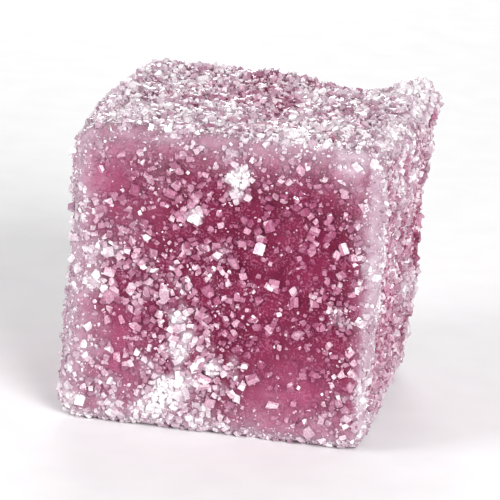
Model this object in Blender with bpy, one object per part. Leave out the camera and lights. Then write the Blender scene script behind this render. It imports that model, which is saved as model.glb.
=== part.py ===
"""A sugared jelly cube: one cut block of fruit jelly in a coat of coarse sugar.

The block stands on its base. Metres, +Z up, with the origin in the middle of the base
and the front face looking along -Y. The largest crystals of the coat are fused to the
block, so that the whole cube is one solid.
"""

import math
import random

import bmesh
import bpy
from mathutils import Matrix, Vector, noise
from mathutils.bvhtree import BVHTree

MM = 0.001

# The block of jelly, before its corners pull out of true.
WIDTH = 23.2 * MM
DEPTH = 22.9 * MM
HEIGHT = 22.9 * MM
EDGE_RADIUS = 1.6 * MM

# How far each corner of the cut block lies from a true cuboid's corner.
# A key is the corner's side along X, Y and Z: -1 is left, front or bottom.
CORNER_PULLS = {
    (-1, -1, -1): Vector((-0.1, 0.1, 0.0)) * MM,
    (1, -1, -1): Vector((0.0, 0.0, 0.0)) * MM,
    (-1, 1, -1): Vector((0.3, -0.2, 0.0)) * MM,
    (1, 1, -1): Vector((-1.1, -0.3, 0.0)) * MM,
    (-1, -1, 1): Vector((0.2, 0.0, -0.2)) * MM,
    (1, -1, 1): Vector((0.1, -0.1, 0.0)) * MM,
    (-1, 1, 1): Vector((0.1, -0.2, 0.1)) * MM,
    (1, 1, 1): Vector((0.3, 0.1, 0.0)) * MM,
}

# Where the block swells or sags by chance: (middle of the place, its radius, its height).
LUMPS = (
    (Vector((10.8, 11.2, 23.2)) * MM, 2.4 * MM, 1.2 * MM),
    (Vector((5.5, 11.5, 22.9)) * MM, 4.5 * MM, -0.7 * MM),
    (Vector((-11.0, 0.0, 22.9)) * MM, 5.0 * MM, 0.3 * MM),
    (Vector((11.6, -11.4, 22.9)) * MM, 2.6 * MM, -0.6 * MM),
    (Vector((-11.6, -11.4, 22.9)) * MM, 2.8 * MM, -0.5 * MM),
)

# Each face sinks in the middle, inside a crusted rim that stands proud.
DISH_DEPTH = 0.45 * MM
RIM_HEIGHT = 0.22 * MM
RIM_INSET = 1.3 * MM
RIM_SPREAD = 0.9 * MM

# The unevenness of the jelly and of its crust: (size of a swell, its height).
SWELLS = (
    (9.0 * MM, 0.40 * MM),
    (3.2 * MM, 0.22 * MM),
    (1.5 * MM, 0.12 * MM),
)

# The grid that the block is made on: its divisions along an edge, and how strongly its
# lines crowd towards the edges, in radians of a sine.
DIVISIONS = 17
CROWDING = 1.25

# The sugar crystals that are large enough to fuse: their length, their width and
# thickness as shares of it, and the slant of their ends.
CRYSTAL_LENGTHS = (0.55 * MM, 0.9 * MM)
CRYSTAL_WIDTHS = (0.65, 0.95)
CRYSTAL_THICKNESSES = (0.5, 0.75)
CRYSTAL_SLANT = 0.25

# A crystal's six-sided outline as shares of its width and thickness: (Y, Z).
CRYSTAL_OUTLINE = (
    (0.0, 0.5),
    (0.5, 0.22),
    (0.5, -0.22),
    (0.0, -0.5),
    (-0.5, -0.22),
    (-0.5, 0.22),
)

# How they lie: most are nearly flat on the jelly, with their middles a share of their
# thickness above it, and none reaches the surface that the cube stands on.
CRYSTAL_TILT = math.radians(28)
CRYSTAL_LIFT = 0.15
CRYSTAL_ROWS = 7
CRYSTAL_JITTER = 0.4
BASE_CLEARANCE = 0.8 * MM

# Thicker patches of sugar on the front face: (x, z, radius, crystals).
SUGAR_PATCHES = (
    (-3.2 * MM, 3.0 * MM, 1.3 * MM, 9),
    (-1.0 * MM, 5.4 * MM, 1.0 * MM, 4),
    (-3.3 * MM, 7.0 * MM, 1.2 * MM, 3),
    (1.3 * MM, 20.4 * MM, 0.5 * MM, 4),
    (-2.0 * MM, 17.1 * MM, 0.6 * MM, 2),
    (-9.2 * MM, 11.8 * MM, 2.2 * MM, 8),
)

SUGAR_SEED = 11

JELLY_COLOUR = (0.33, 0.035, 0.12, 1.0)
JELLY_ROUGHNESS = 0.45


def clear_scene():
    """Removes whatever the scene holds."""
    for thing in list(bpy.data.objects):
        bpy.data.objects.remove(thing, do_unlink=True)


def smooth_step(value):
    """0 below 0, 1 above 1, and a smooth rise between them."""
    value = min(max(value, 0.0), 1.0)
    return value * value * (3.0 - 2.0 * value)


def crowded(value):
    """Moves a place from -1 to 1 towards its nearer end, so that grid lines crowd there."""
    return math.sin(value * CROWDING) / math.sin(CROWDING)


def rounded_cuboid(place):
    """The point of the rounded cuboid at a place on the cube from -1 to 1, and its normal."""
    half = Vector((WIDTH, DEPTH, HEIGHT)) / 2
    sharp = Vector([p * h for p, h in zip(place, half)])
    core = Vector(
        [max(min(s, h - EDGE_RADIUS), EDGE_RADIUS - h) for s, h in zip(sharp, half)]
    )
    normal = (sharp - core).normalized()
    return core + normal * EDGE_RADIUS + Vector((0, 0, half.z)), normal


def pulled(place):
    """How far the corners' pulls move a place on the cube, shared out by nearness."""
    moved = Vector()
    for corner, pull in CORNER_PULLS.items():
        share = 1.0
        for side, p in zip(corner, place):
            share *= (1 + side * p) / 2
        moved += pull * share
    return moved


def edge_distance(place):
    """How far a place lies from the nearest edge of its face, over the block's surface."""
    half = (WIDTH / 2, DEPTH / 2, HEIGHT / 2)
    gaps = sorted((1 - abs(p)) * h for p, h in zip(place, half))
    return gaps[1]


def relief(place, point):
    """How far the surface stands out from the rounded cuboid at a place."""
    gap = edge_distance(place)
    dish = smooth_step(gap / (WIDTH / 2)) * DISH_DEPTH
    rim = math.exp(-(((gap - RIM_INSET) / RIM_SPREAD) ** 2)) * RIM_HEIGHT
    swell = sum(noise.noise(point / size) * height for size, height in SWELLS)
    lump = sum(
        math.exp(-(((point - middle).length / radius) ** 2)) * height
        for middle, radius, height in LUMPS
    )
    return rim + swell + lump - dish


def jelly_point(place):
    """The point of the finished block at a place on the cube. The base stays flat."""
    point, normal = rounded_cuboid(place)
    out = normal * relief(place, point)
    if normal.z < 0:
        out.z = 0.0
    return point + out + pulled(place)


def jelly_block():
    """The block of jelly as a bmesh: a gridded cube whose points take their true places."""
    block = bmesh.new()
    bmesh.ops.create_cube(block, size=2.0)
    bmesh.ops.subdivide_edges(
        block, edges=block.edges[:], cuts=DIVISIONS - 1, use_grid_fill=True
    )
    for vert in block.verts:
        vert.co = jelly_point([crowded(p) for p in vert.co])
    bmesh.ops.recalc_face_normals(block, faces=block.faces[:])
    return block


def crystal_mesh(name, length, width, thickness, slant):
    """A sugar crystal: a six-sided prism along X with slanting ends."""
    crystal = bmesh.new()
    rings = []
    for end in (-0.5, 0.5):
        ring = [
            crystal.verts.new((length * (end + slant * z), width * y, thickness * z))
            for y, z in CRYSTAL_OUTLINE
        ]
        rings.append(ring)
        crystal.faces.new(ring)
    for i in range(len(CRYSTAL_OUTLINE)):
        j = (i + 1) % len(CRYSTAL_OUTLINE)
        crystal.faces.new((rings[0][i], rings[0][j], rings[1][j], rings[1][i]))
    bmesh.ops.recalc_face_normals(crystal, faces=crystal.faces[:])
    mesh = bpy.data.meshes.new(name)
    crystal.to_mesh(mesh)
    crystal.free()
    return mesh


def crystal_turn(rng, normal):
    """A crystal's turn: lying on the jelly, tilted a little any way, and facing any way."""
    turn = normal.to_track_quat("Z", "X").to_matrix()
    for angle, axis in (
        (rng.uniform(-math.pi, math.pi), "Z"),
        (rng.gauss(0, CRYSTAL_TILT), "X"),
        (rng.uniform(-math.pi, math.pi), "Z"),
    ):
        turn = turn @ Matrix.Rotation(angle, 3, axis)
    return turn


def cell_place(rng, cell):
    """A place near the middle of a cell in a row of them, from -0.5 to 0.5."""
    return (cell + 0.5 + rng.uniform(-CRYSTAL_JITTER, CRYSTAL_JITTER)) / CRYSTAL_ROWS - 0.5


def coat_lines(rng):
    """Yields lines that meet the five open faces in an even spread, one in each cell."""
    middle = Vector((0, 0, HEIGHT / 2))
    spans = Vector((WIDTH, DEPTH, HEIGHT))
    for axis, side in ((1, -1), (1, 1), (0, -1), (0, 1), (2, 1)):
        across, along = [i for i in range(3) if i != axis]
        towards = Vector()
        towards[axis] = -side
        for row in range(CRYSTAL_ROWS):
            for column in range(CRYSTAL_ROWS):
                start = middle - towards * spans[axis]
                start[across] += cell_place(rng, column) * spans[across]
                start[along] += cell_place(rng, row) * spans[along]
                yield start, towards


def patch_lines(rng):
    """Yields lines that meet the front face where the sugar lies thicker."""
    for x, z, radius, count in SUGAR_PATCHES:
        for _ in range(count):
            angle = rng.uniform(0, 2 * math.pi)
            reach = radius * math.sqrt(rng.random())
            start = (x + reach * math.cos(angle), -DEPTH, z + reach * math.sin(angle))
            yield Vector(start), Vector((0, 1, 0))


def sugar_crystals(surface):
    """A collection of the crystals to fuse, each half sunk in the block."""
    rng = random.Random(SUGAR_SEED)
    crystals = bpy.data.collections.new("sugar_crystals")
    bpy.context.scene.collection.children.link(crystals)
    for start, towards in [*coat_lines(rng), *patch_lines(rng)]:
        point, normal, _, _ = surface.ray_cast(start, towards)
        if point.z < BASE_CLEARANCE:
            continue
        length = rng.uniform(*CRYSTAL_LENGTHS)
        width = length * rng.uniform(*CRYSTAL_WIDTHS)
        thickness = length * rng.uniform(*CRYSTAL_THICKNESSES)
        slant = rng.uniform(-CRYSTAL_SLANT, CRYSTAL_SLANT)
        name = f"crystal_{len(crystals.objects):03d}"
        mesh = crystal_mesh(name, length, width, thickness, slant)
        crystal = bpy.data.objects.new(name, mesh)
        seat = Matrix.Translation(point + normal * thickness * CRYSTAL_LIFT)
        crystal.matrix_world = seat @ crystal_turn(rng, normal).to_4x4()
        crystals.objects.link(crystal)
    return crystals


def fuse(block, crystals):
    """Joins the crystals to the block by one union, and removes them."""
    union = block.modifiers.new("sugar", "BOOLEAN")
    union.operation = "UNION"
    union.operand_type = "COLLECTION"
    union.collection = crystals
    union.solver = "EXACT"
    bpy.context.view_layer.update()
    graph = bpy.context.evaluated_depsgraph_get()
    fused = bpy.data.meshes.new_from_object(block.evaluated_get(graph))
    block.modifiers.clear()
    block.data = fused
    for crystal in list(crystals.objects):
        bpy.data.objects.remove(crystal, do_unlink=True)
    bpy.data.collections.remove(crystals)


def jelly_material():
    """Deep magenta fruit jelly under sugar."""
    material = bpy.data.materials.new("sugared_jelly")
    material.use_nodes = True
    shader = material.node_tree.nodes["Principled BSDF"]
    shader.inputs["Base Color"].default_value = JELLY_COLOUR
    shader.inputs["Roughness"].default_value = JELLY_ROUGHNESS
    shader.inputs["Metallic"].default_value = 0.0
    return material


def main():
    clear_scene()
    surface = jelly_block()
    mesh = bpy.data.meshes.new("gummy_cube")
    surface.to_mesh(mesh)
    cube = bpy.data.objects.new("gummy_cube", mesh)
    bpy.context.scene.collection.objects.link(cube)
    fuse(cube, sugar_crystals(BVHTree.FromBMesh(surface)))
    surface.free()
    cube.data.materials.clear()
    cube.data.materials.append(jelly_material())


main()
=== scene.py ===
"""The looks of the sugared jelly cube: soft magenta jelly, frosted along its edges, under a
coat of loose and half-dissolved sugar. Metres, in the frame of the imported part.
"""

import math
import random

import bmesh
import bpy
import numpy as np
from mathutils import Matrix, Vector, noise
from mathutils.bvhtree import BVHTree


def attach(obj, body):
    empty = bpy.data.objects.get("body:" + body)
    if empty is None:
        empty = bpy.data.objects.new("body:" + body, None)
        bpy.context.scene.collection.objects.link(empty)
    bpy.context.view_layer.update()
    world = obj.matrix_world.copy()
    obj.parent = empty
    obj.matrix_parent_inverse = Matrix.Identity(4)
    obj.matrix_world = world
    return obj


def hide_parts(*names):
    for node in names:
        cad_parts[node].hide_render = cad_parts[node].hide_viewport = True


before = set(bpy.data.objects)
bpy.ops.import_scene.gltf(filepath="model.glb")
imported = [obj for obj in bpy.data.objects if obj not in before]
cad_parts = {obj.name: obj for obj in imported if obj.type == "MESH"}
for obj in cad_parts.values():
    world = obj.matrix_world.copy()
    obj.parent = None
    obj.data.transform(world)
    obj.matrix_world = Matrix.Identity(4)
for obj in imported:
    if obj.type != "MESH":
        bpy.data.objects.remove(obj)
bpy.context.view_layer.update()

MM = 0.001
NODE = "gummy_cube"

# The block of jelly, as in the part's source: its size, how far each corner is out of true,
# its lumps as (middle, radius, height), how far its faces sink, the rim round them, and the
# swells of its surface as (size, height). Crowding gathers the grid near the edges.
WIDTH = 23.2 * MM
DEPTH = 22.9 * MM
HEIGHT = 22.9 * MM
HALF = np.array([WIDTH, DEPTH, HEIGHT]) / 2
EDGE_RADIUS = 1.6 * MM
CORNER_PULLS = {
    (-1, -1, -1): np.array([-0.1, 0.1, 0.0]) * MM,
    (1, -1, -1): np.array([0.0, 0.0, 0.0]) * MM,
    (-1, 1, -1): np.array([0.3, -0.2, 0.0]) * MM,
    (1, 1, -1): np.array([-1.1, -0.3, 0.0]) * MM,
    (-1, -1, 1): np.array([0.2, 0.0, -0.2]) * MM,
    (1, -1, 1): np.array([0.1, -0.1, 0.0]) * MM,
    (-1, 1, 1): np.array([0.1, -0.2, 0.1]) * MM,
    (1, 1, 1): np.array([0.3, 0.1, 0.0]) * MM,
}
LUMPS = (
    (np.array([10.8, 11.2, 23.2]) * MM, 2.4 * MM, 1.2 * MM),
    (np.array([5.5, 11.5, 22.9]) * MM, 4.5 * MM, -0.7 * MM),
    (np.array([-11.0, 0.0, 22.9]) * MM, 5.0 * MM, 0.3 * MM),
    (np.array([11.6, -11.4, 22.9]) * MM, 2.6 * MM, -0.6 * MM),
    (np.array([-11.6, -11.4, 22.9]) * MM, 2.8 * MM, -0.5 * MM),
)
DISH_DEPTH = 0.45 * MM
RIM_HEIGHT = 0.22 * MM
RIM_INSET = 1.3 * MM
RIM_SPREAD = 0.9 * MM
SWELLS = (
    (9.0 * MM, 0.40 * MM),
    (3.2 * MM, 0.22 * MM),
    (1.5 * MM, 0.12 * MM),
)
CROWDING = 1.25

# The fused crystals, as in the part's source: their form, how they lie, the even spread of
# them on each open face, and more of them on the front as (x, z, radius, how many).
PART_DIVISIONS = 17
CRYSTAL_LENGTHS = (0.55 * MM, 0.9 * MM)
CRYSTAL_WIDTHS = (0.65, 0.95)
CRYSTAL_THICKNESSES = (0.5, 0.75)
CRYSTAL_SLANT = 0.25
CRYSTAL_OUTLINE = (
    (0.0, 0.5),
    (0.5, 0.22),
    (0.5, -0.22),
    (0.0, -0.5),
    (-0.5, -0.22),
    (-0.5, 0.22),
)
CRYSTAL_TILT = math.radians(28)
CRYSTAL_LIFT = 0.15
CRYSTAL_ROWS = 7
CRYSTAL_JITTER = 0.4
BASE_CLEARANCE = 0.8 * MM
SUGAR_PATCHES = (
    (-3.2 * MM, 3.0 * MM, 1.3 * MM, 9),
    (-1.0 * MM, 5.4 * MM, 1.0 * MM, 4),
    (-3.3 * MM, 7.0 * MM, 1.2 * MM, 3),
    (1.3 * MM, 20.4 * MM, 0.5 * MM, 4),
    (-2.0 * MM, 17.1 * MM, 0.6 * MM, 2),
    (-9.2 * MM, 11.8 * MM, 2.2 * MM, 8),
)
SUGAR_SEED = 11

# The fine surface of the jelly: its grid, and the grain of its crust.
FINE_DIVISIONS = 124
CRUST = (
    (0.9 * MM, 0.07 * MM),
    (0.42 * MM, 0.05 * MM),
)

# The loose sugar: its name, how many grains, their shortest and longest, how near two of
# them may lie, the grain's form, and how much of it is in the crust of the edges. Several
# places are drawn for each grain, as those too near another are left out.
LOOSE_SUGAR = (
    ("medium_sugar", 5600, (0.34 * MM, 0.60 * MM), 0.34 * MM, "block", 0.0),
    ("small_sugar", 6400, (0.22 * MM, 0.40 * MM), 0.2 * MM, "block", 0.1),
    ("fine_sugar", 9400, (0.14 * MM, 0.26 * MM), 0.0, "prism", 0.65),
    ("sugar_dust", 15500, (0.06 * MM, 0.14 * MM), 0.0, "cube", 1.8),
)
LOOSE_SEED = 23
DRAWS_EACH = 3

# The grains: how many forms each kind takes, how wide and thick they are beside their length,
# how much blocks slant, how many corners are cut off, which way those face and how much of
# their reach is left, how far grains tilt and stand out, and how much less white each of their
# faces is painted, partly for how clear it looks and partly as painted shade and glint.
FORMS_EACH = 24
GRAIN_WIDTHS = (0.6, 1)
GRAIN_THICKNESSES = (0.45, 0.9)
BLOCK_SLANT = 0.35
BLOCK_CUTS = 4
COARSE_CUTS = 4
CUT_SLANTS = (0.25, 1)
CORNER_CUT = (0.68, 0.86)
CUT_TOLERANCE = 1e-4
GRAIN_TILT = math.radians(65)
GRAIN_LIFT = 0.05
FACET_CLEARNESS_AND_SHADE = (-0.1, 0.5)
# A normal with a larger upright part than this counts as upright.
UPRIGHT = 0.8

# The heaps: the cover at which they start, how far the jelly rises under them, and how far
# their grains pile up.
HEAP_COVER = 1.2
MOUND_HEIGHT = 0.35 * MM
HEAP_HEIGHT = 0.3 * MM

# The underside: how high the lowest grain lies, and how high the jelly stands on its grains.
BASE_GAP = 0.01 * MM
BASE_LIFT = 0.14 * MM

# How white a grain is: on bare jelly, what a full layer and the frost each add, how much it
# varies there, what a thick coat takes from that, what the fused crystals add, and the most.
BARE_WHITENESS = 0.36
COVER_WHITENESS = 0.34
FROST_WHITENESS = 0.14
WHITENESS_SPREAD = 0.26
COATED_EVENNESS = 0.1
COARSE_EXTRA = 0.16
MOST_WHITENESS = 1.2

# How soon a grain stops showing the jelly's pink as the coat thickens.
PINK_FADE = 1.4

# The name of the UV map that gives each face of the sugar a cell of its own, and how much of
# its cell a face fills.
BAKE_MAP = "OFBake"
CELL_FILL = 0.94

# Noise for the reach of the frost, the ends of the bare edges and the patchiness of the
# sugar: the size of its swells and their strength.
FROST_WOBBLE = ((4.0 * MM, 0.5), (1.3 * MM, 0.4))
BARE_WOBBLE = ((1.8 * MM, 0.4),)
PATCHINESS = ((2.6 * MM, 0.5), (1.0 * MM, 0.7))

# On the cube from -1 to 1, where the cover of a side and its drifts set in, and over how much
# they rise to the full. Then the least share that a side has in the cover, and the least cover.
SIDE_START, SIDE_RISE = 0.9, 0.08
DRIFT_START, DRIFT_RISE = 0.85, 0.1
LEAST_SHARE = 1e-6
LEAST_COVER = 0.02

# How thickly sugar covers each side of the cube: (axis, sign of that axis, cover).
SIDE_COVERS = (
    (0, -1, 0.60),
    (0, 1, 0.6),
    (1, -1, 0.3),
    (1, 1, 0.60),
    (2, -1, 0.50),
    (2, 1, 0.82),
)

# Where sugar lies thicker or thinner. For a side as (axis, sign): places over its other two
# axes, a radius, and the change of cover.
SUGAR_DRIFTS = {
    (1, -1): (
        (-3.3 * MM, 3.1 * MM, 1.2 * MM, 1.5),
        (-4.3 * MM, 2.1 * MM, 0.7 * MM, 1.6),
        (-2.0 * MM, 4.0 * MM, 0.5 * MM, 0.6),
        (-0.2 * MM, 5.0 * MM, 0.4 * MM, 1.5),
        (-3.0 * MM, 6.2 * MM, 0.6 * MM, 1.4),
        (-2.4 * MM, 7.4 * MM, 0.5 * MM, 1.2),
        (-3.2 * MM, 8.8 * MM, 0.5 * MM, 1.2),
        (-2.6 * MM, 5.6 * MM, 2.6 * MM, 0.35),
        (-4.8 * MM, 4.8 * MM, 0.9 * MM, 0.5),
        (-1.2 * MM, 1.0 * MM, 1.2 * MM, 0.7),
        (1.2 * MM, 5.0 * MM, 1.7 * MM, 0.35),
        # The next two lay more sugar along the bottom of the front, partly as painted light over
        # the floor's shade.
        (-7.0 * MM, 0.9 * MM, 2.4 * MM, 0.7),
        (-10.8 * MM, 1.8 * MM, 1.8 * MM, 0.5),
        (-8.2 * MM, 3.6 * MM, 2.4 * MM, 0.26),
        (-2.1 * MM, 17.2 * MM, 0.6 * MM, 1.4),
        (1.3 * MM, 20.4 * MM, 0.55 * MM, 5.0),
        (1.1 * MM, 19.0 * MM, 0.5 * MM, 0.9),
        (-9.4 * MM, 11.4 * MM, 1.0 * MM, 0.8),
        (-8.8 * MM, 13.6 * MM, 1.2 * MM, 0.5),
        (-8.2 * MM, 15.6 * MM, 1.6 * MM, 0.28),
        (-4.2 * MM, 11.4 * MM, 2.7 * MM, 0.33),
        (11.2 * MM, 14.4 * MM, 2.0 * MM, 0.35),
        (9.5 * MM, 10.3 * MM, 1.1 * MM, 0.6),
        (10.3 * MM, 6.6 * MM, 1.0 * MM, 0.3),
        (10.6 * MM, 3.4 * MM, 1.4 * MM, 0.4),
        (5.5 * MM, 17.0 * MM, 3.6 * MM, -0.11),
        (0.8 * MM, 17.2 * MM, 1.0 * MM, -0.3),
        (0.0 * MM, 14.4 * MM, 1.3 * MM, 0.35),
        (-9.0 * MM, 19.4 * MM, 1.4 * MM, -0.3),
        (4.5 * MM, 8.0 * MM, 2.6 * MM, -0.12),
        (6.6 * MM, 12.6 * MM, 3.4 * MM, -0.15),
        (9.3 * MM, 16.2 * MM, 1.3 * MM, -0.1),
        (5.8 * MM, 4.0 * MM, 3.2 * MM, -0.2),
        (11.4 * MM, 7.4 * MM, 1.6 * MM, -0.3),
    ),
    (2, 1): (
        (11.0 * MM, 8.1 * MM, 3.0 * MM, 0.7),
        (4.4 * MM, -7.0 * MM, 1.2 * MM, 1.2),
        (-7.0 * MM, -6.3 * MM, 2.5 * MM, 0.5),
        (9.8 * MM, -0.6 * MM, 1.5 * MM, -0.3),
        (-0.3 * MM, 3.2 * MM, 3.6 * MM, -0.3),
        (5.4 * MM, -3.0 * MM, 1.7 * MM, 0.6),
        (-3.2 * MM, -0.6 * MM, 1.5 * MM, 0.5),
        (3.8 * MM, 5.4 * MM, 1.5 * MM, 0.6),
        (6.5 * MM, -9.6 * MM, 2.6 * MM, 0.25),
        (-3.0 * MM, 9.8 * MM, 3.0 * MM, -0.22),
    ),
    (0, 1): (
        (1.6 * MM, 18.8 * MM, 2.4 * MM, 0.45),
        (7.2 * MM, 7.9 * MM, 2.0 * MM, 0.6),
        (2.0 * MM, 6.0 * MM, 4.0 * MM, -0.25),
        # Less sugar toward the back of this side leaves it darker: partly painted shade,
        # standing in for the shade of cubes beside it.
        (8.4 * MM, 11.4 * MM, 3.2 * MM, -0.34),
        (-2.4 * MM, 19.2 * MM, 1.8 * MM, 0.3),
        (10.4 * MM, 18.2 * MM, 2.4 * MM, 0.3),
        (-3.6 * MM, 13.0 * MM, 3.0 * MM, -0.2),
        (-4.6 * MM, 9.2 * MM, 2.2 * MM, -0.38),
        (-8.6 * MM, 5.4 * MM, 1.9 * MM, 0.05),
        (-8.6 * MM, 8.8 * MM, 1.9 * MM, 0.3),
        (-8.6 * MM, 12.2 * MM, 1.9 * MM, 0.3),
        (-8.6 * MM, 15.6 * MM, 1.9 * MM, 0.4),
        (-8.6 * MM, 19.0 * MM, 1.9 * MM, 0.3),
    ),
}

# Where the jelly is paler, as light comes through it, on the same terms.
PALE_JELLY = {
    (1, -1): (
        (7.0 * MM, 3.6 * MM, 3.6 * MM, 0.65),
        (-7.4 * MM, 6.8 * MM, 2.8 * MM, 0.7),
        (-9.0 * MM, 19.6 * MM, 2.2 * MM, 0.8),
        (-7.0 * MM, 16.0 * MM, 3.4 * MM, 0.4),
        (4.0 * MM, 3.0 * MM, 2.6 * MM, 0.4),
        (-7.6 * MM, 2.6 * MM, 2.8 * MM, 0.7),
    ),
    (0, 1): ((0.0 * MM, 8.0 * MM, 12.0 * MM, 0.6),),
}

# The smooth, frosted crust along each edge. For each of the two sides that meet there: the
# side as (axis, sign), how far the frost reaches over it, and how sharply it ends. Then how
# thick the frost is, up to 1, and the share of the larger sugar that is missing there.
EDGES = (
    (((1, -1), 0.68 * MM, 1.3), ((0, 1), 3.4 * MM, 3.2), 1.0, 0.9),
    # The front's top edge has thinner frost, which paints it darker: partly painted shade, as
    # the key lamp lights that rounded edge strongly.
    (((1, -1), 1.7 * MM, 1.2), ((2, 1), 2.6 * MM, 2.0), 0.57, 0.84),
    (((1, -1), 2.0 * MM, 1.6), ((0, -1), 2.0 * MM, 1.6), 1.0, 0.7),
    # The frost of the front's bottom edge reaches further up the front: a paler band that is
    # partly painted light over the floor's shade.
    (((1, -1), 1.9 * MM, 1.2), ((2, -1), 1.2 * MM, 1.6), 1.0, 0.4),
    (((0, 1), 1.2 * MM, 1.6), ((2, 1), 1.8 * MM, 1.6), 1.0, 0.3),
    (((0, -1), 1.6 * MM, 1.6), ((2, 1), 2.4 * MM, 1.6), 1.0, 0.4),
    (((1, 1), 1.6 * MM, 1.6), ((2, 1), 1.4 * MM, 1.6), 0.5, 0.2),
    (((1, 1), 1.6 * MM, 1.6), ((0, 1), 1.3 * MM, 1.6), 1.0, 0.2),
    (((1, 1), 1.6 * MM, 1.6), ((0, -1), 1.6 * MM, 1.6), 1.0, 0.4),
    (((0, 1), 1.2 * MM, 1.6), ((2, -1), 1.0 * MM, 1.6), 1.0, 0.3),
    (((0, -1), 1.2 * MM, 1.6), ((2, -1), 1.0 * MM, 1.6), 1.0, 0.3),
    (((1, 1), 1.2 * MM, 1.6), ((2, -1), 1.0 * MM, 1.6), 1.0, 0.3),
)

# Where the crust is thick and smooth away from an edge too, on the same terms as the drifts.
SMOOTH_CRUST = {
    (1, -1): ((9.6 * MM, 21.8 * MM, 1.5 * MM, 0.8), (4.6 * MM, 21.6 * MM, 1.3 * MM, 0.35)),
    (2, 1): ((9.4 * MM, -10.4 * MM, 1.5 * MM, 0.9), (5.0 * MM, -10.4 * MM, 1.3 * MM, 0.3)),
}

# The jelly that sugar covers is crusted too: from which cover on, how fast that rises, and
# the most. Then how thick the sugar in the crust of the edges looks, beside that of a heap.
CRUSTED_FROM = 0.5
CRUSTED_RISE = 1.4
CRUSTED_MOST = 0.85
FROST_THICKNESS = 0.45

# The colours of the jelly, with noise between two stops: the deep jelly, where it is painted
# paler as light comes through it, the film of sugar on it, the crust along its edges, and the
# crust under thick sugar.
DEEP_SIZE = 1.8 * MM
DEEP_COLOURS = ((0.35, (0.125, 0.004, 0.03)), (0.65, (0.19, 0.011, 0.054)))
PALE_COLOUR = (0.33, 0.062, 0.14, 1)
FILM_COLOUR = (0.41, 0.12, 0.22, 1)
CRUST_SIZE = 0.5 * MM
CRUST_COLOURS = ((0.35, (0.34, 0.19, 0.265)), (0.65, (0.46, 0.32, 0.395)))
THICK_COLOUR = (0.6, 0.51, 0.56, 1)

# How rough the jelly is, and the frost on top of that, how soft it is, and how far the film
# stands out beside the grit of the crust.
JELLY_ROUGHNESS = ((0.3, (0.3,) * 3), (0.7, (0.55,) * 3))
FROST_ROUGHNESS = 0.25
SOFTNESS = 0.8
FILM_BUMP = 0.3
GRIT_SIZE = 0.12 * MM

# The film lies in clouds with specks in them, more of it by the frost, and is see-through:
# its share is how much of its colour shows.
CLOUD_SIZE, CLOUD_STRENGTH = 1.3 * MM, 0.5
SPECK_SIZE = 0.17 * MM
FILM_BY_FROST = 0.3
FILM_EDGE = ((0.78, (0.0,) * 3), (0.92, (1.0,) * 3))
FILM_SHARE = 0.55

# The colours of sugar by its whiteness, on bare jelly and in a thick coat.
PINK_SUGAR = (
    (0.25, (0.32, 0.06, 0.145)),
    (0.52, (0.6, 0.25, 0.385)),
    (0.79, (1.0, 0.88, 0.93)),
)
PALE_SUGAR = (
    (0.25, (0.4, 0.22, 0.31)),
    (0.52, (0.64, 0.49, 0.57)),
    (0.79, (1.0, 0.96, 0.98)),
)

# How much a grain's whiteness and the flaws in it each count, and its roughness and chips.
WHITENESS_STRENGTH = 0.6
FLAW_SIZE, FLAW_STRENGTH = 0.14 * MM, 0.5
ROUGH_SIZE = 0.3 * MM
SUGAR_ROUGHNESS = ((0.35, (0.04,) * 3), (0.65, (0.2,) * 3))
CHIP_SIZE = 0.1 * MM

# Where a mix node has its colours, as their names repeat among its sockets.
MIX_FIRST, MIX_SECOND, MIX_RESULT = 6, 7, 2

# The studio: its paper floor, and its lights with their places, sizes and power in watts.
FLOOR_SIZE = 1.6
PAPER_SIZE = 4 * MM
PAPER_COLOURS = ((0.3, (0.88, 0.87, 0.88)), (0.7, (0.91, 0.90, 0.91)))
LIGHTS = (
    ("key", (0.3, -0.4, 0.24), 0.28, 3.1),
    ("back", (0.1, 0.34, 0.42), 0.3, 0.2),
    ("fill", (-0.42, -0.28, 0.16), 0.26, 1.75),
    ("rear", (-0.12, 0.46, 0.12), 0.22, 0.95),
)
WORLD_STRENGTH = 0.38

# The view: where the camera stands round the cube, how it leans, and how much it takes in.
AZIMUTH = math.radians(11.5)
ELEVATION = math.radians(16.4)
ROLL = math.radians(3.0)
DISTANCE = 0.32
FRAME_WIDTH = 0.0385
SENSOR = 36.0
CLIP_START = 0.01


def smooth_step(values):
    """0 below 0, 1 above 1, and a smooth rise between them."""
    values = np.clip(values, 0.0, 1.0)
    return values * values * (3.0 - 2.0 * values)


def swirl(points, size):
    """Smooth noise at the points, with swells of about that size."""
    return np.array([noise.noise(p) for p in points / size])


def swells(points, layers, start=0.0):
    """Layers of noise added to a start, each with swells of its own size and strength."""
    total = start
    for size, strength in layers:
        total = total + strength * swirl(points, size)
    return total


def unit(vectors):
    """The vectors at a length of one."""
    return vectors / np.linalg.norm(vectors, axis=1, keepdims=True)


# The block.


def cube_grid(divisions):
    """A cube from -1 to 1 with a grid on each face: its points, and its faces' corners."""
    grid = bmesh.new()
    bmesh.ops.create_cube(grid, size=2.0)
    bmesh.ops.subdivide_edges(
        grid, edges=grid.edges[:], cuts=divisions - 1, use_grid_fill=True
    )
    grid.verts.index_update()
    places = np.array([v.co for v in grid.verts])
    faces = [[v.index for v in f.verts] for f in grid.faces]
    grid.free()
    return np.sin(places * CROWDING) / math.sin(CROWDING), faces


def edge_distance(places):
    """How far each place lies from the nearest edge of its face."""
    return np.sort((1 - np.abs(places)) * HALF, axis=1)[:, 1]


def pulled(places):
    """How far the corners' pulls move each place, shared out by nearness."""
    moved = np.zeros_like(places)
    for corner, pull in CORNER_PULLS.items():
        moved += np.prod((1 + places * corner) / 2, axis=1)[:, None] * pull
    return moved


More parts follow.
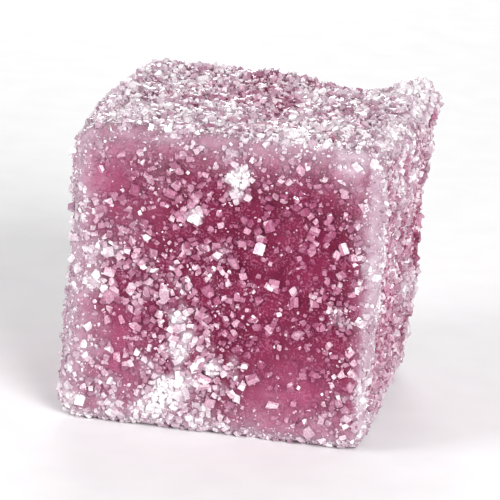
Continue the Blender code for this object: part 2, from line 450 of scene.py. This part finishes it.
def relief(places, points):
    """How far the surface stands out from the rounded cuboid."""
    gap = edge_distance(places)
    height = np.exp(-(((gap - RIM_INSET) / RIM_SPREAD) ** 2)) * RIM_HEIGHT
    height -= smooth_step(gap / (WIDTH / 2)) * DISH_DEPTH
    for size, swell in SWELLS:
        height += swirl(points, size) * swell
    for middle, radius, lump in LUMPS:
        far = np.linalg.norm(points - middle, axis=1) / radius
        height += np.exp(-(far**2)) * lump
    return height


def jelly_points(places, crust=()):
    """The points of the block at places on the cube. The base stays flat."""
    sharp = places * HALF
    core = np.clip(sharp, EDGE_RADIUS - HALF, HALF - EDGE_RADIUS)
    normals = unit(sharp - core)
    points = core + normals * EDGE_RADIUS + (0, 0, HALF[2])
    height = relief(places, points)
    for size, grain in crust:
        height += swirl(points, size) * grain
    out = normals * height[:, None]
    out[normals[:, 2] < 0, 2] = 0
    return points + out + pulled(places)


def drifts(places, points, sides):
    """The sum of round patches, each of which fades out over one side of the cube."""
    total = np.zeros(len(places))
    for (axis, sign), patches in sides.items():
        across, along = [i for i in range(3) if i != axis]
        within = smooth_step((places[:, axis] * sign - DRIFT_START) / DRIFT_RISE)
        for u, v, radius, height in patches:
            far = np.hypot(points[:, across] - u, points[:, along] - v) / radius
            total += within * np.exp(-(far**2)) * height
    return total


def edge_shares(places, wobble):
    """How far each place is in each edge's crust, 1 on the edge and 0 past its reach."""
    stretch = np.maximum(1 + wobble, 0)
    for one, other, thickness, bareness in EDGES:
        away = np.zeros(len(places))
        for (_, reach, end), ((axis, sign), _, _) in ((one, other), (other, one)):
            over = (1 - sign * places[:, axis]) * HALF[axis] / reach
            away = np.maximum(away, (over * stretch) ** end)
        yield np.exp(-away), thickness, bareness


def smooth_crust(places, points):
    """How thick and smooth the crust is away from the edges, from 0 to 1."""
    return np.minimum(drifts(places, points, SMOOTH_CRUST), 1)


def frost_at(places, points):
    """How frosted each place is by the crust along the edges, from 0 to 1."""
    wobble = swells(points, FROST_WOBBLE)
    shares = [share * thickness for share, thickness, _ in edge_shares(places, wobble)]
    return np.max([*shares, smooth_crust(places, points)], axis=0)


def sugar_cover(places, points):
    """How thickly sugar covers each place: 0 is bare, 1 is a full layer, and more is a heap."""
    cover = np.zeros(len(places))
    share = np.zeros(len(places))
    for axis, sign, thick in SIDE_COVERS:
        nearness = smooth_step((places[:, axis] * sign - SIDE_START) / SIDE_RISE)
        nearness += LEAST_SHARE
        cover += thick * nearness
        share += nearness
    cover = cover / share + drifts(places, points, SUGAR_DRIFTS)
    return np.maximum(cover * swells(points, PATCHINESS, 1), LEAST_COVER)


def bare_edges(places, points):
    """The share of the larger sugar that stays, with less of it on the smooth crust."""
    stays = 1 - smooth_crust(places, points)
    for share, _, bareness in edge_shares(places, swells(points, BARE_WOBBLE)):
        stays *= 1 - share * bareness
    return stays


# Meshes.


def new_piece(name, points, faces, material, smooth):
    """A mesh object from points and faces, riding on the part's one body."""
    mesh = bpy.data.meshes.new(name)
    mesh.from_pydata(points, [], faces)
    mesh.validate()
    mesh.materials.append(material)
    if smooth:
        mesh.shade_smooth()
    piece = bpy.data.objects.new(name, mesh)
    bpy.context.scene.collection.objects.link(piece)
    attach(piece, "root")
    return piece


def add_value(piece, name, values, domain="POINT"):
    """Stores one number at each point, or at each face, of a piece."""
    attribute = piece.data.attributes.new(name, "FLOAT", domain)
    attribute.data.foreach_set("value", np.asarray(values, np.float32))


def add_bake_map(mesh, rows_by, columns_by):
    """Gives each face a small cell of its own in a new UV map. Faces are sorted into rows by one
    value and along each row by the other, so that neighbours there look alike."""
    count = len(mesh.polygons)
    width = math.ceil(math.sqrt(count))
    rows = np.argsort(np.argsort(rows_by, kind="stable")) // width
    cells = np.argsort(np.lexsort((columns_by, rows)))
    sides = np.array([face.loop_total for face in mesh.polygons])
    faces = np.repeat(np.arange(count), sides)
    corners = np.arange(len(faces)) - np.repeat(np.cumsum(sides) - sides, sides)
    angles = 2 * math.pi * (corners + 0.5) / sides[faces]
    places = np.stack([np.cos(angles), np.sin(angles)], axis=1) / math.sqrt(2)
    places = 0.5 + np.clip(places, -0.5, 0.5) * CELL_FILL
    places += np.stack([cells[faces] % width, cells[faces] // width], axis=1)
    bake_map = mesh.uv_layers.new(name=BAKE_MAP)
    bake_map.data.foreach_set("uv", (places / width).astype(np.float32).ravel())


# Sugar grains, each a small mesh of about unit length.


def prism_form(rng, cuts):
    """A six-sided prism along X with slanting ends, and some corners cut off."""
    slant = rng.uniform(-CRYSTAL_SLANT, CRYSTAL_SLANT)
    form = bmesh.new()
    rings = [
        [form.verts.new((end + slant * z, y, z)) for y, z in CRYSTAL_OUTLINE]
        for end in (-0.5, 0.5)
    ]
    form.faces.new(rings[0])
    form.faces.new(rings[1])
    for i in range(len(CRYSTAL_OUTLINE)):
        j = (i + 1) % len(CRYSTAL_OUTLINE)
        form.faces.new((rings[0][i], rings[0][j], rings[1][j], rings[1][i]))
    return finished_form(form, rng, cuts)


def block_form(rng, cuts):
    """A slanting, slightly tapered block with some corners cut off."""
    form = bmesh.new()
    bmesh.ops.create_cube(form, size=1.0)
    slant, taper, skew = rng.uniform(-BLOCK_SLANT, BLOCK_SLANT, 3)
    for vert in form.verts:
        x, y, z = vert.co
        vert.co = (x * (1 + taper * z) + slant * z, y * (1 + skew * x), z)
    return finished_form(form, rng, cuts)


def finished_form(form, rng, cuts):
    """Cuts corners off the form. Returns its points, its faces and how much less white each face
    is painted, partly for how clear it looks and partly as painted shade and glint between
    facets.
    """
    for _ in range(cuts):
        cut_corner(form, rng)
    bmesh.ops.recalc_face_normals(form, faces=form.faces[:])
    form.verts.index_update()
    points = np.array([v.co for v in form.verts])
    faces = [[v.index for v in f.verts] for f in form.faces]
    form.free()
    return points, faces, rng.uniform(*FACET_CLEARNESS_AND_SHADE, len(faces))


def cut_corner(form, rng):
    """Slices off what stands out furthest in a slanting direction, and closes the form."""
    out = Vector(rng.choice((-1, 1), 3) * rng.uniform(*CUT_SLANTS, 3)).normalized()
    reach = max(v.co.dot(out) for v in form.verts) * rng.uniform(*CORNER_CUT)
    sliced = bmesh.ops.bisect_plane(
        form,
        geom=form.verts[:] + form.edges[:] + form.faces[:],
        dist=CUT_TOLERANCE,
        plane_co=out * reach,
        plane_no=out,
        clear_outer=True,
    )
    rim = [part for part in sliced["geom_cut"] if isinstance(part, bmesh.types.BMEdge)]
    bmesh.ops.contextual_create(form, geom=rim)


def grain_forms(rng, kind):
    """The forms that grains of a kind take."""
    if kind == "prism":
        return [prism_form(rng, 0) for _ in range(FORMS_EACH)]
    cuts = BLOCK_CUTS if kind == "block" else 0
    return [block_form(rng, cuts) for _ in range(FORMS_EACH)]


def turns_about(angles, axis):
    """Rotation matrices about one axis, 0 to 2, one for each angle."""
    c, s = np.cos(angles), np.sin(angles)
    turns = np.zeros((len(angles), 3, 3))
    i, j = [a for a in range(3) if a != axis]
    turns[:, axis, axis] = 1
    turns[:, i, i] = turns[:, j, j] = c
    turns[:, i, j] = -s
    turns[:, j, i] = s
    return turns


def grain_turns(rng, normals, tilt):
    """Turns that lay grains on the surface, tilted a little any way, and facing any way."""
    helper = np.where(np.abs(normals[:, 2:]) < UPRIGHT, [[0, 0, 1]], [[1, 0, 0]])
    side = unit(np.cross(helper, normals))
    turns = np.stack([side, np.cross(normals, side), normals], axis=2)
    count = len(normals)
    turns = turns @ turns_about(rng.uniform(-math.pi, math.pi, count), 2)
    turns = turns @ turns_about(rng.normal(0, tilt, count), 0)
    return turns @ turns_about(rng.uniform(-math.pi, math.pi, count), 2)


def sugar_piece(name, forms, picks, sizes, turns, centres, looks, material):
    """Joins grains into one piece: each takes its pick of the forms, its size, turn, centre and
    looks. A grain is less white on some faces: partly on its clearer faces, partly as painted
    shade and glint between its facets."""
    white, pink = looks
    points, faces, shades, pinks = [], [], [], []
    start = 0
    for pick, (form, corners, clear) in enumerate(forms):
        mine = np.flatnonzero(picks == pick)
        grains = (form[None] * sizes[mine, None]) @ turns[mine].transpose(0, 2, 1)
        grains += centres[mine, None]
        grains[:, :, 2] += np.maximum(BASE_GAP - grains[:, :, 2].min(axis=1), 0)[:, None]
        points.append(grains.reshape(-1, 3))
        for k in range(len(mine)):
            faces += [[start + k * len(form) + c for c in face] for face in corners]
        # Painted shade and glint: each face is less white by its own random share, partly for
        # clearness.
        shades.append((white[mine, None] - clear).ravel())
        pinks.append(np.repeat(pink[mine], len(clear)))
        start += len(mine) * len(form)
    piece = new_piece(name, np.concatenate(points), faces, material, smooth=False)
    shades, pinks = np.clip(np.concatenate(shades), 0, 1), np.concatenate(pinks)
    add_value(piece, "whiteness", shades, "FACE")
    add_value(piece, "pinkness", pinks, "FACE")
    add_bake_map(piece.data, shades, pinks)
    return piece


class Surface:
    """The fine surface of the jelly, to lay grains on. It is raised under its heaps of sugar,
    and its underside stands on the grains that stick to it."""

    def __init__(self):
        self.places, self.faces = cube_grid(FINE_DIVISIONS)
        self.points = jelly_points(self.places, CRUST)
        quads = np.array(self.faces)
        self.corners = np.concatenate([quads[:, [0, 1, 2]], quads[:, [0, 2, 3]]])
        self.cover = sugar_cover(self.places, self.points)
        self.stays = bare_edges(self.places, self.points)
        self.frost = frost_at(self.places, self.points)
        self.measure()
        rise = smooth_step((self.cover - HEAP_COVER) / HEAP_COVER) * MOUND_HEIGHT
        self.points += self.normals * rise[:, None]
        self.points[:, 2] = np.maximum(self.points[:, 2], BASE_LIFT)
        self.measure()

    def measure(self):
        """Works out the areas of the triangles and the normals of the points."""
        a, b, c = self.points[self.corners].transpose(1, 0, 2)
        across = np.cross(b - a, c - a)
        self.areas = np.linalg.norm(across, axis=1) / 2
        normals = np.zeros_like(self.points)
        for corner in self.corners.T:
            np.add.at(normals, corner, across)
        self.normals = unit(normals)

    def draw(self, rng, count, crusty):
        """Draws spots, more of them where the cover is thicker: points, normals, covers, frosts.

        Crusty grains also lie thickly on the frosted edges, which larger ones avoid."""
        weight = self.cover * self.stays + crusty * self.frost
        chances = self.areas * weight[self.corners].mean(axis=1)
        picks = rng.choice(len(self.corners), count, p=chances / chances.sum())
        a, b = rng.random((2, count))
        a, b = np.where(a + b > 1, 1 - a, a), np.where(a + b > 1, 1 - b, b)
        weights = np.stack([1 - a - b, a, b], axis=1)
        corners = self.corners[picks]
        points = (self.points[corners] * weights[:, :, None]).sum(axis=1)
        normals = unit((self.normals[corners] * weights[:, :, None]).sum(axis=1))
        covers = (self.cover[corners] * weights).sum(axis=1)
        frosts = (self.frost[corners] * weights).sum(axis=1)
        return points, normals, covers, frosts


def well_apart(points, least, most):
    """Picks points in order, leaving out any that lies too near one already picked."""
    if not least:
        return np.arange(len(points))[:most]
    cells = {}
    picked = []
    around = [(i, j, k) for i in (-1, 0, 1) for j in (-1, 0, 1) for k in (-1, 0, 1)]
    keys = np.floor(points / least).astype(int)
    for index, (point, key) in enumerate(zip(points, keys)):
        x, y, z = key
        near = (cells.get((x + i, y + j, z + k), ()) for i, j, k in around)
        if any(((point - p) ** 2).sum() < least**2 for cell in near for p in cell):
            continue
        cells.setdefault((x, y, z), []).append(point)
        picked.append(index)
        if len(picked) == most:
            break
    return np.array(picked)


def grain_looks(rng, covers, frosts, extra=0.0):
    """How white each grain is, whitest in heaps, and how much of the jelly's pink it shows,
    most where it lies on bare jelly."""
    thick = np.clip(covers + frosts, 0, 1)
    white = BARE_WHITENESS + COVER_WHITENESS * covers + FROST_WHITENESS * frosts
    white += rng.normal(extra, WHITENESS_SPREAD - COATED_EVENNESS * thick)
    return np.clip(white, 0, MOST_WHITENESS), np.clip(PINK_FADE - PINK_FADE * thick, 0, 1)


def loose_sugar(surface, material):
    """Makes each kind of loose grain as one piece."""
    for number, (name, count, lengths, apart, kind, crusty) in enumerate(LOOSE_SUGAR):
        rng = np.random.default_rng(LOOSE_SEED + number)
        points, normals, covers, frosts = surface.draw(rng, count * DRAWS_EACH, crusty)
        picked = well_apart(points, apart, count)
        points, normals = points[picked], normals[picked]
        covers, frosts = covers[picked], frosts[picked]
        count = len(picked)
        length = rng.uniform(*lengths, count)
        width = rng.uniform(*GRAIN_WIDTHS, count)
        thickness = rng.uniform(*GRAIN_THICKNESSES, count)
        sizes = length[:, None] * np.stack([np.ones(count), width, thickness], axis=1)
        heap = np.clip(covers / HEAP_COVER - 1, 0, 1) * rng.random(count) * HEAP_HEIGHT
        centres = points + normals * (sizes[:, 2] * GRAIN_LIFT + heap)[:, None]
        forms = grain_forms(rng, kind)
        picks = rng.integers(len(forms), size=count)
        turns = grain_turns(rng, normals, GRAIN_TILT)
        looks = grain_looks(rng, covers, frosts)
        sugar_piece(name, forms, picks, sizes, turns, centres, looks, material)


def part_lines(rng):
    """The lines on which the part's source seats its crystals, in the same order."""
    middle = Vector((0, 0, HEIGHT / 2))
    spans = Vector((WIDTH, DEPTH, HEIGHT))
    for axis, side in ((1, -1), (1, 1), (0, -1), (0, 1), (2, 1)):
        across, along = [i for i in range(3) if i != axis]
        towards = Vector()
        towards[axis] = -side
        for row in range(CRYSTAL_ROWS):
            for column in range(CRYSTAL_ROWS):
                start = middle - towards * spans[axis]
                start[across] += cell_place(rng, column) * spans[across]
                start[along] += cell_place(rng, row) * spans[along]
                yield start, towards
    for x, z, radius, count in SUGAR_PATCHES:
        for _ in range(count):
            angle = rng.uniform(0, 2 * math.pi)
            reach = radius * math.sqrt(rng.random())
            start = (x + reach * math.cos(angle), -DEPTH, z + reach * math.sin(angle))
            yield Vector(start), Vector((0, 1, 0))


def cell_place(rng, cell):
    """A place near the middle of a cell in a row of them, from -0.5 to 0.5."""
    return (cell + 0.5 + rng.uniform(-CRYSTAL_JITTER, CRYSTAL_JITTER)) / CRYSTAL_ROWS - 0.5


def crystal_turn(rng, normal):
    """A fused crystal's turn, as in the part's source."""
    turn = normal.to_track_quat("Z", "X").to_matrix()
    for angle, axis in (
        (rng.uniform(-math.pi, math.pi), "Z"),
        (rng.gauss(0, CRYSTAL_TILT), "X"),
        (rng.uniform(-math.pi, math.pi), "Z"),
    ):
        turn = turn @ Matrix.Rotation(angle, 3, axis)
    return turn


def coarse_sugar(surface, material):
    """The crystals that the part has fused, where they are there, with broken edges."""
    places, faces = cube_grid(PART_DIVISIONS)
    block = BVHTree.FromPolygons([Vector(p) for p in jelly_points(places)], faces)
    rng = random.Random(SUGAR_SEED)
    centres, sizes, turns = [], [], []
    for start, towards in part_lines(rng):
        point, normal, _, _ = block.ray_cast(start, towards)
        if point.z < BASE_CLEARANCE:
            continue
        length = rng.uniform(*CRYSTAL_LENGTHS)
        width = length * rng.uniform(*CRYSTAL_WIDTHS)
        thickness = length * rng.uniform(*CRYSTAL_THICKNESSES)
        # The slant comes next in the part's source. The forms here have their own.
        rng.uniform(-CRYSTAL_SLANT, CRYSTAL_SLANT)
        centres.append(point + normal * thickness * CRYSTAL_LIFT)
        sizes.append((length, width, thickness))
        turns.append(crystal_turn(rng, normal))
    centres, sizes, turns = np.array(centres), np.array(sizes), np.array(turns)
    shapes = np.random.default_rng(SUGAR_SEED)
    forms = [prism_form(shapes, COARSE_CUTS) for _ in range(FORMS_EACH)]
    picks = shapes.integers(len(forms), size=len(centres))
    spots = [np.argmin(((surface.points - c) ** 2).sum(axis=1)) for c in centres]
    covers, frosts = surface.cover[spots], surface.frost[spots]
    looks = grain_looks(shapes, covers, frosts, COARSE_EXTRA)
    piece = sugar_piece(
        "coarse_sugar", forms, picks, sizes, turns, centres, looks, material
    )
    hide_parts(NODE)


# Materials.


class Nodes:
    """A new material's node tree, with short ways to add to it."""

    def __init__(self, name):
        self.material = bpy.data.materials.new(name)
        self.material.use_nodes = True
        self.tree = self.material.node_tree
        self.shader = self.tree.nodes["Principled BSDF"]

    def add(self, kind, inputs=(), **settings):
        """Adds a node, sets it, and fills its inputs by name with a value or a socket."""
        node = self.tree.nodes.new("ShaderNode" + kind)
        for name, value in settings.items():
            setattr(node, name, value)
        for name, value in dict(inputs).items():
            self.fill(node.inputs[name], value)
        return node

    def fill(self, socket, value):
        """Links a socket to an input, or sets the input to a value."""
        if isinstance(value, bpy.types.NodeSocket):
            self.tree.links.new(value, socket)
        else:
            socket.default_value = value

    def shade(self, **values):
        """Fills the shader's sockets. An underscore in a name stands for a space."""
        for name, value in values.items():
            self.fill(self.shader.inputs[name.replace("_", " ")], value)

    def ramp(self, factor, stops):
        """A colour ramp of (position, colour) stops."""
        node = self.add("ValToRGB", {"Fac": factor})
        ramp = node.color_ramp
        while len(ramp.elements) < len(stops):
            ramp.elements.new(0.5)
        for element, (position, colour) in zip(ramp.elements, stops):
            element.position = position
            element.color = (*colour, 1)
        return node.outputs["Color"]

    def grain(self, size, detail=2.0):
        """Noise with swells of about this size in metres, over the object's own space."""
        place = self.add("TexCoord").outputs["Object"]
        node = self.add(
            "TexNoise", {"Vector": place, "Scale": 1 / size, "Detail": detail}
        )
        return node.outputs["Fac"]

    def maths(self, operation, *values):
        """A sum on numbers or sockets."""
        node = self.add("Math", operation=operation)
        for socket, value in zip(node.inputs, values):
            self.fill(socket, value)
        return node.outputs[0]

    def mix(self, factor, first, second):
        """A mix of two colours, all of the second at a factor of one."""
        node = self.add("Mix", data_type="RGBA")
        self.fill(node.inputs["Factor"], factor)
        self.fill(node.inputs[MIX_FIRST], first)
        self.fill(node.inputs[MIX_SECOND], second)
        return node.outputs[MIX_RESULT]


def jelly_material():
    """Deep magenta jelly, hazed with fine sugar and frosted where its frost value is high."""
    n = Nodes("sugared_jelly")
    deep = n.ramp(n.grain(DEEP_SIZE), DEEP_COLOURS)
    # Painted light: the jelly is paler where light comes through it.
    pale = n.add("Attribute", attribute_name="paleness").outputs["Fac"]
    deep = n.mix(pale, deep, PALE_COLOUR)
    frost = n.add("Attribute", attribute_name="frost").outputs["Fac"]
    specks = n.grain(SPECK_SIZE)
    clouds = n.maths("MULTIPLY_ADD", n.grain(CLOUD_SIZE), CLOUD_STRENGTH, specks)
    film = n.ramp(n.maths("MULTIPLY_ADD", frost, FILM_BY_FROST, clouds), FILM_EDGE)
    hazed = n.mix(n.maths("MULTIPLY", film, FILM_SHARE), deep, FILM_COLOUR)
    crust = n.ramp(n.grain(CRUST_SIZE, 4.0), CRUST_COLOURS)
    thick = n.add("Attribute", attribute_name="sugariness").outputs["Fac"]
    crust = n.mix(n.maths("POWER", thick, 2.0), crust, THICK_COLOUR)
    frosted = n.mix(frost, hazed, crust)
    soft = n.maths("MULTIPLY", n.maths("SUBTRACT", 1.0, frost), SOFTNESS)
    grit = n.maths("MULTIPLY", n.grain(GRIT_SIZE, 3.0), frost)
    bump = n.add(
        "Bump",
        {
            "Height": n.maths("MULTIPLY_ADD", film, FILM_BUMP, grit),
            "Distance": 0.12 * MM,
            "Strength": 0.6,
        },
    )
    rough = n.ramp(n.grain(CRUST_SIZE), JELLY_ROUGHNESS)
    rough = n.maths("MULTIPLY_ADD", frost, FROST_ROUGHNESS, rough)
    n.shade(
        Base_Color=frosted,
        Roughness=rough,
        Normal=bump.outputs["Normal"],
        Subsurface_Weight=soft,
        Subsurface_Scale=2.0 * MM,
        Subsurface_Radius=(1.0, 0.25, 0.45),
        Specular_IOR_Level=0.22,
        IOR=1.42,
    )
    return n.material


def sugar_material():
    """Sugar crystals, from nearly clear, which show the jelly's pink, to white."""
    n = Nodes("sugar_crystals")
    white = n.add("Attribute", attribute_name="whiteness").outputs["Fac"]
    pinkness = n.add("Attribute", attribute_name="pinkness").outputs["Fac"]
    flaws = n.maths("MULTIPLY", n.grain(FLAW_SIZE, 3.0), FLAW_STRENGTH)
    white = n.maths("MULTIPLY_ADD", white, WHITENESS_STRENGTH, flaws)
    colour = n.mix(pinkness, n.ramp(white, PALE_SUGAR), n.ramp(white, PINK_SUGAR))
    rough = n.ramp(n.grain(ROUGH_SIZE), SUGAR_ROUGHNESS)
    bump = n.add(
        "Bump",
        {"Height": n.grain(CHIP_SIZE), "Distance": 0.03 * MM, "Strength": 0.5},
    )
    n.shade(
        Base_Color=colour,
        Roughness=rough,
        Normal=bump.outputs["Normal"],
        Transmission_Weight=0.2,
        IOR=1.56,
    )
    return n.material


def floor_material():
    """Plain pale paper."""
    n = Nodes("pale_floor")
    n.shade(Base_Color=n.ramp(n.grain(PAPER_SIZE), PAPER_COLOURS), Roughness=0.8)
    return n.material


# The pieces.


def jelly_body(surface):
    """The fine surface of the jelly, which stands for the part's solid."""
    piece = new_piece(
        "jelly", surface.points, surface.faces, jelly_material(), True
    )
    crusted = np.clip(CRUSTED_RISE * (surface.cover - CRUSTED_FROM), 0, CRUSTED_MOST)
    add_value(piece, "frost", np.maximum(surface.frost, crusted))
    thick = np.maximum(surface.cover / HEAP_COVER, FROST_THICKNESS * surface.frost)
    add_value(piece, "sugariness", np.clip(thick, 0, 1))
    add_value(piece, "paleness", drifts(surface.places, surface.points, PALE_JELLY))
    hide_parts(NODE)


def build_cube():
    """Makes every piece of the cube."""
    surface = Surface()
    jelly_body(surface)
    sugar = sugar_material()
    coarse_sugar(surface, sugar)
    loose_sugar(surface, sugar)


# The studio.


def floor():
    """A sheet of paper under the cube."""
    bpy.ops.mesh.primitive_plane_add(size=FLOOR_SIZE)
    plane = bpy.context.object
    plane.name = "floor"
    plane.data.materials.append(floor_material())


def area_light(name, place, size, power):
    """A round light that faces the middle of the cube."""
    light = bpy.data.lights.new(name, "AREA")
    light.shape = "DISK"
    light.size = size
    light.energy = power
    lamp = bpy.data.objects.new(name, light)
    lamp.location = place
    towards = Vector((0, 0, HEIGHT / 2)) - Vector(place)
    lamp.rotation_euler = towards.to_track_quat("-Z", "Y").to_euler()
    bpy.context.scene.collection.objects.link(lamp)


def lights():
    """The lamps, and an even white light from all round."""
    for lamp in LIGHTS:
        area_light(*lamp)
    world = bpy.data.worlds.new("studio")
    world.use_nodes = True
    background = world.node_tree.nodes["Background"]
    background.inputs["Color"].default_value = (1, 1, 1, 1)
    background.inputs["Strength"].default_value = WORLD_STRENGTH
    bpy.context.scene.world = world


def camera():
    """Looks at the middle of the cube from the photograph's side, at its lean."""
    view = bpy.data.cameras.new("camera")
    view.sensor_width = SENSOR
    view.lens = SENSOR * DISTANCE / FRAME_WIDTH
    view.clip_start = CLIP_START
    eye = bpy.data.objects.new("camera", view)
    back = Vector(
        (
            math.sin(AZIMUTH) * math.cos(ELEVATION),
            -math.cos(AZIMUTH) * math.cos(ELEVATION),
            math.sin(ELEVATION),
        )
    )
    turn = back.to_track_quat("Z", "Y").to_matrix() @ Matrix.Rotation(ROLL, 3, "Z")
    eye.matrix_world = (
        Matrix.Translation(back * DISTANCE + Vector((0, 0, HEIGHT / 2)))
        @ turn.to_4x4()
    )
    bpy.context.scene.collection.objects.link(eye)
    bpy.context.scene.camera = eye


build_cube()
floor()
lights()
camera()
bpy.context.scene.view_settings.view_transform = "Standard"
